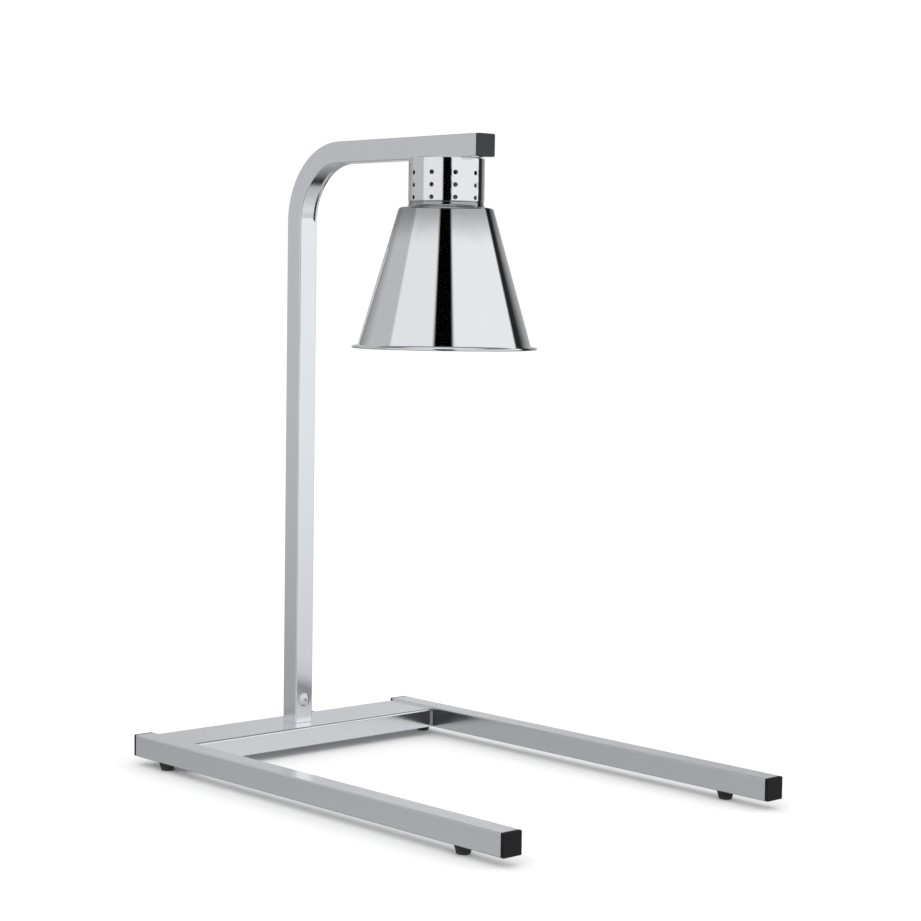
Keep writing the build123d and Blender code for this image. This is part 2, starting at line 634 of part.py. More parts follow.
def racetrack(distance):
    """Point on the wound cord at this arc length from the join."""
    z = COIL_Z + PITCH * distance / LOOP
    rest = (distance + JOIN_Y - COIL_Y0) % LOOP
    if rest < STRAIGHT:
        return (COIL_FRONT_X, COIL_Y0 + rest, z)
    rest -= STRAIGHT
    if rest < HALF_TURN:
        angle = rest / COIL_R
        return (COIL_X + COIL_R * math.cos(angle), COIL_Y1 + COIL_R * math.sin(angle), z)
    rest -= HALF_TURN
    if rest < STRAIGHT:
        return (COIL_REAR_X, COIL_Y1 - rest, z)
    rest -= STRAIGHT
    angle = math.pi + rest / COIL_R
    return (COIL_X + COIL_R * math.cos(angle), COIL_Y0 + COIL_R * math.sin(angle), z)


def power_cord():
    # down the post, round the elbow and back to the racetrack
    down, out = (CORD_X, 0, COIL_Z + ELBOW), (CORD_X - ELBOW, 0, COIL_Z)
    inset = ELBOW * (1 - math.cos(math.radians(45)))
    leave = (-40.0, 0, COIL_Z)
    pieces = [
        Line((CORD_X, 0, CORD_TOP), down),
        ThreePointArc(down, (CORD_X - inset, 0, COIL_Z + inset), out),
        Line(out, leave),
        Spline(leave, (-52.0, 4.5, COIL_Z), (-59.8, 18.0, COIL_Z), racetrack(0),
               tangents=[(-1, 0, 0), (0, 1, SLOPE)]),
    ]
    # (length, Y heading into a half turn, or None for a straight)
    legs = [(COIL_Y1 - JOIN_Y, None), (HALF_TURN, 1), (STRAIGHT, None), (HALF_TURN, -1),
            (JOIN_Y - COIL_Y0, None)]
    distance = 0.0
    for length, heading in legs * TURNS:
        start, stop = distance + 1e-7, distance + length - 1e-7
        here = pieces[-1] @ 1
        if heading is None:
            pieces.append(Line(here, racetrack(stop)))
        else:
            track = [racetrack(start + (stop - start) * k / 8) for k in range(1, 9)]
            pieces.append(Spline(tuple(here), *track,
                                 tangents=[(0, heading, SLOPE), (0, -heading, SLOPE)]))
        distance += length
    # off the top turn and into the plug
    top_z = racetrack(distance - 1e-6)[2]
    entry = (PLUG_X, PLUG_Y - 10.0, PLUG_Z)
    pieces.append(Spline(
        pieces[-1] @ 1, (COIL_FRONT_X, 78.0, top_z + 0.8), (COIL_FRONT_X + 1.0, 105.0, top_z + 1.0),
        (PLUG_X - 0.6, 124.0, top_z + 0.4), (PLUG_X, 138.0, PLUG_Z + 1.1), entry,
        tangents=[(0, 1, SLOPE), (0, 1, 0)]))
    pieces.append(Line(entry, (PLUG_X, PLUG_Y + 0.9, PLUG_Z)))
    path = Wire(pieces)
    return sweep(Plane(origin=path @ 0, z_dir=path % 0) * Circle(CORD_R), path=path)


def cord_tie():
    """Band round the coil's rear side, with its lock on top."""
    x, inner = COIL_REAR_X, TIE_HALF - 1.0
    band = block(x - TIE_HALF, x + TIE_HALF, 98, 103, 0.7, 16.6)
    band = fillet(band.edges().filter_by(Axis.Y), 3.0)
    opening = block(x - inner, x + inner, 97, 104, 1.7, 15.6)
    opening = fillet(opening.edges().filter_by(Axis.Y), 2.2)
    return band - opening + block(x - 2.6, x + 3.4, 97.5, 103.5, 16.1, 18.6)


PLUG = [    # (r, distance along +Y from PLUG_Y)
    (SLEEVE_R, -9.0), (4.4, -9.0), (5.4, 0), (8.0, 2.0), (12.4, 8.0), (12.8, 10.0),
    (12.8, 25.0), (12.2, PLUG_LENGTH), (0, PLUG_LENGTH), (0, 1.0), (SLEEVE_R, 1.0)]


def plug_body():
    """Round plug with a flat on each side."""
    plug = Pos(PLUG_X, PLUG_Y, PLUG_Z) * Rot(-90, 0, 0) * spin(PLUG)
    return plug - (block(PLUG_X - 15, PLUG_X - 10.8, 163, 182, 0, 30)
                   + block(PLUG_X + 10.8, PLUG_X + 15, 163, 182, 0, 30))


def plug_pins():
    """Two flat blades and a round earth pin below them."""
    face_y = PLUG_Y + PLUG_LENGTH
    end_y = face_y + PIN_LENGTH
    pins = []
    for side in (-1, 1):
        x = PLUG_X + side * 6.35
        pins.append(block(x - 0.75, x + 0.75, face_y, end_y, PLUG_Z - 0.2, PLUG_Z + 6.2))
    return pins + [rod_y(PLUG_X, face_y, end_y + 2.0, PLUG_Z - 7.0, 2.4)]


save("power_cord", power_cord())
save("cord_tie", cord_tie())
save("plug_body", plug_body())
save("plug_pins", *plug_pins())

# ---- insulated wires inside the tube ------------------------------------------------------
WIRE_R = 1.1
WIRE_BEND_R = 84.0                  # the wires' radius about the bend centre
WIRE_X = BEND_X - WIRE_BEND_R       # in the upper post
WIRE_Z = BEND_Z + WIRE_BEND_R       # in the arm
WIRE_START = CORD_TOP + 0.3


def bend_run(y):
    return [bend_point(WIRE_BEND_R, degrees, y) for degrees in range(0, 91, 15)]


def nipple_run(degrees, y):
    """From the arm at this y into the nipple's bore, and down it at this angle from +X."""
    x_bore = LAMP_X + 2.3 * math.cos(math.radians(degrees))
    y_bore = 2.3 * math.sin(math.radians(degrees))
    return [(x_bore - 8, y, WIRE_Z), (x_bore, y_bore, 713.5), (x_bore, y_bore, 674.0)]


neutral = [(CORD_X - 0.7, 1.25, WIRE_START), (3.0, 6.5, 126.0), (3.0, 8.9, 152.0),
           (3.0, 8.9, SWITCH_Z + 20), (WIRE_X, 5.0, SWITCH_Z + 50)]
neutral += bend_run(5.0) + nipple_run(60, 5.0)
save("wire_neutral", wire_along(neutral, WIRE_R))

# the live wire is broken by the switch
live_low = [(CORD_X + 1.45, 0, WIRE_START), (4.0, 0, 124.0), (7.6, 0, SWITCH_Z - 30),
            (7.6, 0, SWITCH_Z - 6.6)]
live_high = [(7.6, 0, SWITCH_Z + 6.6), (7.6, 0, SWITCH_Z + 16), (WIRE_X, 0, SWITCH_Z + 60)]
live_high += bend_run(0.0) + nipple_run(-60, 0)
save("wire_live", wire_along(live_low, WIRE_R), wire_along(live_high, WIRE_R))

# the earth wire ends over the tag's tongue
earth = [(CORD_X - 0.7, -1.25, WIRE_START), (3.0, -6.5, 126.0), (3.0, -8.9, 156.0),
         (3.0, -8.9, SWITCH_Z + 20), (WIRE_X, -5.0, SWITCH_Z + 64)]
earth += bend_run(-5.0)
earth += [(LAMP_X - 40, -5.0, WIRE_Z), (LAMP_X - 24, -2.0, 706.0),
          (LAMP_X - 19, 0, ARM_FLOOR + 3.0)]
save("wire_earth", wire_along(earth, WIRE_R))
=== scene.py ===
"""Lamp with a spun cone shade hung from a bent post and arm tube on a railed base.

Metres, +Z up, floor at z = 0. The base rails run along X and the channel along Y. The arm
reaches from the post towards +X. Shade, vented collar and bulb share one vertical lamp axis.
"""
import math

import bmesh
import bpy
from mathutils import Matrix, Vector


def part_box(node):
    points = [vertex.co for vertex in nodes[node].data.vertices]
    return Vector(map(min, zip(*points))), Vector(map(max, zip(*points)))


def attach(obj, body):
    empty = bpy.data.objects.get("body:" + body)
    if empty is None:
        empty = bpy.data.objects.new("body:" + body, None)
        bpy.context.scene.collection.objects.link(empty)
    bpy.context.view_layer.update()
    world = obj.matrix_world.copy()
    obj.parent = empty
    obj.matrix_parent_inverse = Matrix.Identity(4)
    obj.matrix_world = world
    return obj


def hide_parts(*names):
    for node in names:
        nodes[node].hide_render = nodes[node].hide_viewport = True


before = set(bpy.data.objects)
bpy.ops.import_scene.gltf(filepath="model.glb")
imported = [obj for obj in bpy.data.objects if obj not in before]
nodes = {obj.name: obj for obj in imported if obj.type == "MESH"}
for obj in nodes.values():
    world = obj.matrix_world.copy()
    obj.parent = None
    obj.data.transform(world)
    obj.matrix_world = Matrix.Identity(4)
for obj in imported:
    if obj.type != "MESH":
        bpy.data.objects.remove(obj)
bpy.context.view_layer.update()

scene = bpy.context.scene


def middle(name):
    low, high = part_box(name)
    return [(low[i] + high[i]) / 2 for i in range(3)]


LAMP = middle("lamp_shade")
POST = middle("post_stub")
TUBE_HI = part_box("post_and_arm_tube")[1]
SHADE_LO, SHADE_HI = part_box("lamp_shade")
COLLAR_LO, COLLAR_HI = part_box("vented_collar")
MM = 0.001

# Lengths in mm
SHEET = 0.8             # wall of shade and collar
NECK_HEIGHT = 6.0       # shade's upright neck above its shoulder
BEND_OUTER = 92.0       # outer radius of the post's bend
POST_RADIUS = 12.5
BEND_X = BEND_OUTER - POST_RADIUS           # bend centre, measured from the post axis
BEND_Z = TUBE_HI[2] / MM - BEND_OUTER

# Plan position of the viewer and of the lamp in mm, and the direction between them
VIEWER = (2129.8, -1688.8)
LAMP_PLAN = (255.5, 0.0)
VIEW_AZIMUTH = math.atan2(VIEWER[1] - LAMP_PLAN[1], VIEWER[0] - LAMP_PLAN[0])


# ---------------------------------------------------------------- shader nodes
class Nodes:
    """A shader tree being built; most methods add a node and return its output socket."""

    def __init__(self, tree):
        self.tree = tree
        tree.nodes.clear()

    def node(self, kind):
        return self.tree.nodes.new(kind)

    def link(self, output, socket):
        self.tree.links.new(output, socket)

    def put(self, socket, value):
        """Sets a number or tuple, giving colours an alpha of 1, or links an output."""
        if isinstance(value, (int, float)):
            socket.default_value = value
        elif isinstance(value, tuple):
            colour = len(value) == 3 and len(socket.default_value) == 4
            socket.default_value = value + (1.0,) if colour else value
        else:
            self.link(value, socket)

    def math(self, operation, a, b=0.0, c=0.0):
        node = self.node("ShaderNodeMath")
        node.operation = operation
        for socket, value in zip(node.inputs, (a, b, c)):
            self.put(socket, value)
        return node.outputs[0]

    def plus(self, a, b):
        return self.math("ADD", a, b)

    def minus(self, a, b):
        return self.math("SUBTRACT", a, b)

    def times(self, a, b):
        return self.math("MULTIPLY", a, b)

    def length(self, a, b):
        return self.math("SQRT", self.plus(self.times(a, a), self.times(b, b)))

    def split(self, vector):
        node = self.node("ShaderNodeSeparateXYZ")
        self.put(node.inputs[0], vector)
        return node.outputs[0:3]

    def vector(self, x, y, z):
        node = self.node("ShaderNodeCombineXYZ")
        for socket, value in zip(node.inputs, (x, y, z)):
            self.put(socket, value)
        return node.outputs[0]

    def noise(self, vector, scale=1.0, detail=3.0, roughness=0.55, distortion=0.0):
        node = self.node("ShaderNodeTexNoise")
        self.put(node.inputs["Vector"], vector)
        node.inputs["Scale"].default_value = scale
        node.inputs["Detail"].default_value = detail
        node.inputs["Roughness"].default_value = roughness
        node.inputs["Distortion"].default_value = distortion
        return node.outputs["Fac"]

    def remap(self, value, span=(0.3, 0.7), to=(0.0, 1.0), smooth=False):
        """Maps the span onto `to`, held at both ends."""
        node = self.node("ShaderNodeMapRange")
        node.interpolation_type = "SMOOTHSTEP" if smooth else "LINEAR"
        node.clamp = True
        self.put(node.inputs["Value"], value)
        for name, number in zip(("From Min", "From Max", "To Min", "To Max"), span + to):
            self.put(node.inputs[name], number)
        return node.outputs["Result"]

    def mix(self, factor, a, b, blend="MIX"):
        node = self.node("ShaderNodeMix")
        node.data_type = "RGBA"
        node.blend_type = blend
        for index, value in ((0, factor), (6, a), (7, b)):
            self.put(node.inputs[index], value)
        return node.outputs[2]

    def grey_ramp(self, factor, stops):
        """Linear ramp through (position, grey level) stops."""
        node = self.node("ShaderNodeValToRGB")
        elements = node.color_ramp.elements
        while len(elements) > 1:
            elements.remove(elements[-1])
        for index, (position, level) in enumerate(stops):
            element = elements.new(position) if index else elements[0]
            element.position = position
            element.color = (level, level, level, 1.0)
        self.put(node.inputs[0], factor)
        return node.outputs["Color"]


class Material(Nodes):
    """A Principled material; `point` is the object-space position."""

    def __init__(self, name):
        self.material = bpy.data.materials.new(name)
        self.material.use_nodes = True
        super().__init__(self.material.node_tree)
        self.output = self.node("ShaderNodeOutputMaterial")
        self.bsdf = self.node("ShaderNodeBsdfPrincipled")
        self.link(self.bsdf.outputs[0], self.output.inputs["Surface"])
        self.point = self.node("ShaderNodeTexCoord").outputs["Object"]

    def geometry(self, name):
        return self.node("ShaderNodeNewGeometry").outputs[name]

    def stretched(self, *scale):
        node = self.node("ShaderNodeVectorMath")
        node.operation = "MULTIPLY"
        self.put(node.inputs[0], self.point)
        self.put(node.inputs[1], scale)
        return node.outputs[0]

    def bump(self, height, strength, distance):
        node = self.node("ShaderNodeBump")
        node.inputs["Strength"].default_value = strength
        node.inputs["Distance"].default_value = distance
        self.put(node.inputs["Height"], height)
        return node.outputs[0]

    def edges(self, radius, full=0.3):
        """1 along sharp edges, 0 on open faces; `full` is the normal change that gives 1."""
        bevel = self.node("ShaderNodeBevel")
        bevel.samples = 4
        bevel.inputs["Radius"].default_value = radius
        dot = self.node("ShaderNodeVectorMath")
        dot.operation = "DOT_PRODUCT"
        self.put(dot.inputs[0], bevel.outputs[0])
        self.put(dot.inputs[1], self.geometry("Normal"))
        return self.remap(self.minus(1.0, dot.outputs["Value"]), span=(0.03, full))

    def set(self, **sockets):
        """Sets Principled inputs: base_color sets Base Color, and so on."""
        for key, value in sockets.items():
            name = key.replace("_", " ").title().replace("Ior", "IOR")
            self.put(self.bsdf.inputs[name], value)
        return self.material


# ------------------------------------------------------------------- materials
def satin_steel(name, run, base=(0.962, 0.966, 0.974), roughness=0.16, seed=0.0):
    """Satin steel brushed along its run: 'X', 'Y' or 'BENT' (post, bend and arm)."""
    mat = Material(name)
    x, y, z = mat.split(mat.point)
    if run == "X":
        across, side, along = z, y, x
    elif run == "Y":
        across, side, along = z, x, y
    else:
        out_x = mat.math("MINIMUM", mat.minus(x, POST[0] + BEND_X * MM), 0.0)
        out_z = mat.math("MAXIMUM", mat.minus(z, BEND_Z * MM), 0.0)
        across, side, along = mat.length(out_x, out_z), y, mat.plus(x, z)

    def streaks(cross_scale, along_scale, offset, **noise):
        lengthwise = mat.math("MULTIPLY_ADD", along, along_scale, seed + offset)
        crosswise = (mat.times(across, cross_scale), mat.times(side, cross_scale))
        return mat.noise(mat.vector(*crosswise, lengthwise), **noise)

    fine = streaks(5200, 55, offset=0, detail=4.0, roughness=0.62)
    broad = streaks(900, 9, offset=3, detail=2.0, roughness=0.5)
    cloud = mat.noise(mat.point, scale=9.0, roughness=0.6)
    smear = mat.noise(mat.stretched(38, 38, 21), detail=4.0, roughness=0.7, distortion=0.6)
    scratch = mat.math("GREATER_THAN", streaks(2600, 3, offset=11, detail=1.0), 0.735)
    edge_highlight_and_wear = mat.edges(radius=0.0012)

    tone = mat.plus(mat.remap(broad, to=(-0.012, 0.012)), mat.remap(cloud, to=(-0.012, 0.010)))
    tone = mat.plus(tone, mat.remap(fine, span=(0.25, 0.75), to=(-0.010, 0.010)))
    cloudy = (base[0] * 0.965, base[1] * 0.975, base[2] * 0.995)
    colour = mat.mix(mat.remap(cloud, span=(0.35, 0.7)), base, cloudy)
    # Painted edge highlight, partly wear: sharp edges are mixed towards a lighter colour.
    colour = mat.mix(mat.times(edge_highlight_and_wear, 0.55), colour, (0.965, 0.968, 0.972))
    toned = mat.node("ShaderNodeHueSaturation")
    mat.put(toned.inputs["Color"], colour)
    mat.put(toned.inputs["Value"], mat.plus(1.0, tone))

    rough = mat.plus(
        mat.remap(fine, span=(0.2, 0.8), to=(roughness - 0.03, roughness + 0.04)),
        mat.remap(smear, span=(0.45, 0.75), to=(0.0, 0.04)))
    rough = mat.minus(rough, mat.times(edge_highlight_and_wear, 0.05))
    height = mat.plus(mat.times(fine, 1.0), mat.times(scratch, -0.5))
    return mat.set(base_color=toned.outputs[0], metallic=1.0, roughness=rough,
                   normal=mat.bump(height, strength=0.12, distance=0.00005))


def spun_polish(name, top_z=None, roughness=0.024):
    """Polished spun sheet: fine turned lines round the lamp axis and fingerprints.

    With top_z (metres), a painted dark reflection, which darkens the colour towards near-black,
    fades out below that height."""
    mat = Material(name)
    x, y, z = mat.split(mat.point)
    from_axis_x = mat.minus(x, LAMP[0])
    from_axis_y = mat.minus(y, LAMP[1])
    radius = mat.length(from_axis_x, from_axis_y)
    angle = mat.math("ARCTAN2", from_axis_y, from_axis_x)

    def turned(scale, angle_scale, **noise):
        section = (mat.times(radius, scale), mat.times(z, scale))
        return mat.noise(mat.vector(*section, mat.times(angle, angle_scale)), **noise)

    lines = turned(5200, 1.2, detail=4.0, roughness=0.6)
    coarse = turned(700, 0.7)
    smear = mat.noise(mat.stretched(30, 30, 24), detail=5.0, roughness=0.7, distortion=0.8)
    blots = mat.noise(mat.stretched(75, 75, 60), detail=2.0, roughness=0.5, distortion=1.5)
    prints = mat.remap(blots, span=(0.60, 0.72))
    colour = mat.mix(mat.remap(coarse, span=(0.35, 0.7)), (0.94, 0.945, 0.95), (0.925, 0.93, 0.94))
    rough = mat.plus(
        mat.remap(lines, span=(0.25, 0.8), to=(roughness - 0.010, roughness + 0.016)),
        mat.remap(smear, span=(0.5, 0.75), to=(0.0, 0.022)))
    rough = mat.plus(rough, mat.times(prints, 0.03))

    # Painted reflection: below top_z the colour is darkened towards near-black, standing in for the
    # dark reflection of the arm and ceiling in the polished cone; roughness rises there too.
    if top_z is not None:
        painted_reflection_depth = 45.0      # mm, wavering by a tenth round the axis
        wave = mat.vector(mat.times(angle, 5.0), mat.times(z, 30.0), 4.0)
        swirl = mat.remap(mat.noise(wave, roughness=0.5), to=(0.90, 1.10))
        depth = mat.times(mat.minus(top_z, z), 1000.0)
        fade = mat.math("DIVIDE", depth, mat.times(painted_reflection_depth, swirl))
        fade = mat.remap(fade, span=(0.0, 1.0), to=(1.0, 0.0), smooth=True)
        painted_dark_reflection = mat.times(fade, 0.55)
        patchy_painted_reflection = mat.times(painted_dark_reflection, mat.remap(coarse, to=(0.96, 1.04)))
        colour = mat.mix(mat.math("MINIMUM", patchy_painted_reflection, 0.93), colour, (0.04, 0.042, 0.046))
        rough = mat.plus(rough, mat.times(painted_dark_reflection, 0.04))

    tangent = mat.node("ShaderNodeTangent")
    tangent.direction_type = "RADIAL"
    tangent.axis = "Z"
    height = mat.plus(lines, mat.times(coarse, 0.6))
    return mat.set(base_color=colour, metallic=1.0, roughness=rough,
                   normal=mat.bump(height, strength=0.035, distance=0.00003),
                   anisotropic=0.15, anisotropic_rotation=0.25, tangent=tangent.outputs[0])


def hardware(name, base=(0.66, 0.67, 0.69), roughness=0.28, tint=(0.72, 0.68, 0.60)):
    """Small metal parts: tinted patches, dark specks, turned lines and edges painted brighter as
    highlight and wear.
    """
    mat = Material(name)
    specks = mat.noise(mat.point, scale=420.0, detail=4.0, roughness=0.6)
    patches = mat.noise(mat.point, scale=60.0, roughness=0.6)
    lines = mat.noise(mat.stretched(2600, 2600, 500), detail=2.0)
    edge_highlight_and_wear = mat.edges(radius=0.0005)
    colour = mat.mix(mat.remap(patches, span=(0.35, 0.7), to=(0.0, 0.6)), base, tint)
    speckle = mat.remap(specks, span=(0.62, 0.75), to=(0.0, 0.45))
    colour = mat.mix(speckle, colour, (0.35, 0.35, 0.36))
    # Painted edge highlight, partly wear: sharp edges are mixed towards a light grey.
    colour = mat.mix(mat.times(edge_highlight_and_wear, 0.6), colour, (0.88, 0.88, 0.88))
    rough = mat.remap(lines, span=(0.2, 0.8), to=(roughness - 0.06, roughness + 0.12))
    return mat.set(base_color=colour, metallic=1.0, roughness=rough,
                   normal=mat.bump(lines, strength=0.25, distance=0.00005))


def moulded(name, base, roughness, grain, edge_light, spec=0.45, depth=0.00008):
    """Moulded plastic: fine grain, faint clouds, edges painted lighter as highlight and wear, a
    little dust.
    """
    mat = Material(name)
    cells = mat.node("ShaderNodeTexVoronoi")
    cells.feature = "F1"
    mat.put(cells.inputs["Vector"], mat.point)
    cells.inputs["Scale"].default_value = grain
    soft = mat.noise(mat.point, scale=grain * 0.5, roughness=0.6)
    cloud = mat.noise(mat.point, scale=45.0, roughness=0.6)
    dust = mat.remap(mat.noise(mat.point, scale=900.0, detail=2.0, roughness=0.7),
                     span=(0.66, 0.74), to=(0.0, 0.35))
    edge_highlight_and_wear = mat.edges(radius=0.0010, full=0.35)
    colour = mat.mix(mat.remap(cloud), base, tuple(c * 1.35 + 0.003 for c in base))
    # Painted edge highlight, partly wear: sharp edges are lighter by edge_light.
    colour = mat.mix(mat.times(edge_highlight_and_wear, 0.7), colour, tuple(c + edge_light for c in base))
    colour = mat.mix(dust, colour, tuple(min(1.0, c + 0.10) for c in base))
    rough = mat.plus(mat.remap(cloud, to=(roughness - 0.04, roughness + 0.07)),
                     mat.remap(soft, span=(0.4, 0.7), to=(-0.03, 0.05)))
    rough = mat.minus(rough, mat.times(edge_highlight_and_wear, 0.12))
    height = mat.plus(cells.outputs["Distance"], mat.times(soft, 0.6))
    return mat.set(base_color=colour, roughness=rough, specular_ior_level=spec,
                   normal=mat.bump(height, strength=0.35, distance=depth))


def rubber(name):
    """Black rubber, scuffed grey in the 3.5 mm above the floor."""
    mat = Material(name)
    grain = mat.noise(mat.point, scale=700.0, detail=4.0, roughness=0.65)
    cloud = mat.noise(mat.point, scale=70.0, roughness=0.6)
    scuff = mat.remap(mat.split(mat.point)[2], span=(0.0, 0.0035), to=(0.55, 0.0))
    scuff = mat.times(scuff, mat.remap(grain, span=(0.35, 0.65), to=(0.2, 1.0)))
    colour = mat.mix(mat.remap(cloud), (0.016, 0.016, 0.017), (0.032, 0.031, 0.030))
    colour = mat.mix(scuff, colour, (0.10, 0.098, 0.094))
    return mat.set(base_color=colour, roughness=mat.remap(grain, to=(0.62, 0.85)),
                   specular_ior_level=0.3,
                   normal=mat.bump(grain, strength=0.4, distance=0.00012))


def jacket(name):
    """Cord jacket: semi-matt black with clouds and dust."""
    mat = Material(name)
    grain = mat.noise(mat.point, scale=380.0, roughness=0.6)
    cloud = mat.noise(mat.point, scale=28.0, roughness=0.6)
    dust = mat.remap(mat.noise(mat.point, scale=240.0, detail=4.0, roughness=0.7),
                     span=(0.58, 0.74), to=(0.0, 0.5))
    colour = mat.mix(mat.remap(cloud), (0.014, 0.014, 0.015), (0.028, 0.028, 0.029))
    colour = mat.mix(dust, colour, (0.075, 0.073, 0.070))
    return mat.set(base_color=colour, roughness=mat.remap(grain, to=(0.36, 0.52)),
                   specular_ior_level=0.5,
                   normal=mat.bump(grain, strength=0.25, distance=0.0002))


def porcelain(name):
    """Glazed cream porcelain with brown specks and edges painted paler as highlight and wear."""
    mat = Material(name)
    cloud = mat.noise(mat.point, scale=55.0, detail=4.0, roughness=0.6)
    specks = mat.remap(mat.noise(mat.point, scale=520.0, detail=2.0, roughness=0.5),
                       span=(0.66, 0.72), to=(0.0, 0.6))
    edge_highlight_and_wear = mat.edges(radius=0.0012, full=0.35)
    colour = mat.mix(mat.remap(cloud), (0.80, 0.785, 0.745), (0.72, 0.70, 0.65))
    colour = mat.mix(specks, colour, (0.45, 0.38, 0.30))
    # Painted edge highlight, partly wear: sharp edges are mixed towards a paler cream.
    colour = mat.mix(mat.times(edge_highlight_and_wear, 0.5), colour, (0.88, 0.87, 0.84))
    return mat.set(base_color=colour, roughness=mat.remap(cloud, to=(0.10, 0.20)),
                   coat_weight=0.5, coat_roughness=0.06,
                   normal=mat.bump(cloud, strength=0.12, distance=0.0004))


def brass(name):
    """Brass with darker tarnish, fine level lines and edges painted brighter as highlight and wear.
    """
    mat = Material(name)
    tarnish = mat.noise(mat.point, scale=160.0, detail=4.0, roughness=0.6)
    lines = mat.noise(mat.stretched(900, 900, 3800))
    edge_highlight_and_wear = mat.edges(radius=0.0004)
    colour = mat.mix(mat.remap(tarnish, span=(0.35, 0.7)), (0.78, 0.57, 0.26), (0.55, 0.37, 0.15))
    # Painted edge highlight, partly wear: sharp edges are mixed towards a brighter brass.
    colour = mat.mix(mat.times(edge_highlight_and_wear, 0.6), colour, (0.92, 0.76, 0.45))
    return mat.set(base_color=colour, metallic=1.0, roughness=mat.remap(lines, to=(0.20, 0.36)),
                   normal=mat.bump(lines, strength=0.2, distance=0.00004))


def sleeve(name, base):
    """Coloured wire insulation."""
    mat = Material(name)
    grain = mat.noise(mat.point, scale=900.0, roughness=0.6)
    cloud = mat.noise(mat.point, scale=60.0, detail=2.0, roughness=0.6)
    colour = mat.mix(mat.remap(cloud), base, tuple(c * 0.7 for c in base))
    return mat.set(base_color=colour, roughness=mat.remap(grain, to=(0.34, 0.5)),
                   normal=mat.bump(grain, strength=0.2, distance=0.0001))


def clear_glass(name, tint, frost):
    """Clear glass; `frost` is its least roughness."""
    mat = Material(name)
    cloud = mat.noise(mat.point, scale=40.0, detail=4.0, roughness=0.6)
    ripple = mat.noise(mat.point, scale=900.0, detail=2.0, roughness=0.5)
    colour = mat.mix(mat.remap(cloud), tint, tuple(c * 0.97 for c in tint))
    rough = mat.remap(cloud, span=(0.35, 0.7), to=(frost, frost + 0.05))
    return mat.set(base_color=colour, roughness=rough, transmission_weight=0.92, ior=1.47,
                   normal=mat.bump(ripple, strength=0.05, distance=0.0001))


def tungsten(name):
    mat = Material(name)
    grain = mat.noise(mat.point, scale=2200.0, detail=2.0)
    colour = mat.mix(mat.remap(grain), (0.20, 0.20, 0.21), (0.42, 0.42, 0.43))
    return mat.set(base_color=colour, metallic=1.0, roughness=mat.remap(grain, to=(0.35, 0.5)),
                   normal=mat.bump(grain, strength=0.4, distance=0.00005))


MATERIALS = {
    "rail": satin_steel("satin_rail", "X", seed=2.0),
    "rail2": satin_steel("satin_rail_left", "X", seed=9.0),
    "bent": satin_steel("satin_post_and_arm", "BENT", seed=5.0),
    "channel": satin_steel("satin_channel", "Y", base=(0.965, 0.968, 0.975), roughness=0.14,
                           seed=7.0),
    "stub": satin_steel("satin_stub", "X", base=(0.70, 0.70, 0.71), roughness=0.3, seed=1.0),
    "weld": hardware("weld_bead", base=(0.60, 0.60, 0.61), roughness=0.34,
                     tint=(0.58, 0.52, 0.45)),
    # The shade's colour holds a painted dark reflection under its shoulder.
    "shade": spun_polish("polished_shade", top_z=SHADE_HI[2] - NECK_HEIGHT * MM),
    "collar": spun_polish("polished_collar", roughness=0.04),
    "cap": moulded("black_cap_plastic", base=(0.022, 0.023, 0.025), roughness=0.44,
                   grain=2400.0, edge_light=0.05, spec=0.38),
    # Painted shade: a darker, less glossy copy of the black cap plastic for the rail caps low by the
    # floor.
    "shaded_cap": moulded("black_cap_plastic_shaded_darker", base=(0.004, 0.004, 0.005), roughness=0.5,
                        grain=2400.0, edge_light=0.02, spec=0.22),
    "rubber": rubber("foot_rubber"),
    "zinc": hardware("bright_zinc"),
    "steel_screw": hardware("polished_screw", base=(0.78, 0.78, 0.79), roughness=0.18,
                            tint=(0.74, 0.74, 0.74)),
    "cord": jacket("cord_jacket"),
    "plug": moulded("plug_plastic", base=(0.016, 0.016, 0.017), roughness=0.5,
                    grain=1800.0, edge_light=0.04),
    "tie": moulded("tie_plastic", base=(0.020, 0.020, 0.020), roughness=0.45,
                   grain=3000.0, edge_light=0.05),
    "brass": brass("bright_brass"),
    "porcelain": porcelain("glazed_porcelain"),
    "glass": clear_glass("bulb_front_glass", tint=(0.99, 0.985, 0.97), frost=0.03),
    "stem": clear_glass("stem_glass", tint=(0.93, 0.96, 0.95), frost=0.02),
    "silver": spun_polish("silvered_reflector", roughness=0.10),
    "bulb_cap": hardware("bulb_cap_metal", base=(0.80, 0.80, 0.80), roughness=0.22,
                         tint=(0.76, 0.74, 0.70)),
    "black_glass": moulded("black_glass", base=(0.012, 0.010, 0.014), roughness=0.12,
                           grain=900.0, edge_light=0.02, spec=0.6, depth=0.00002),
    "tungsten": tungsten("tungsten_wire"),
    "housing": moulded("switch_housing_plastic", base=(0.018, 0.018, 0.019), roughness=0.36,
                       grain=3600.0, edge_light=0.05),
    "rocker": moulded("rocker_plastic", base=(0.020, 0.020, 0.021), roughness=0.24,
                      grain=3600.0, edge_light=0.05),
    "brown": sleeve("sleeve_brown", base=(0.16, 0.065, 0.03)),
    "blue": sleeve("sleeve_blue", base=(0.04, 0.10, 0.38)),
    "green": sleeve("sleeve_green", base=(0.14, 0.36, 0.06)),
}

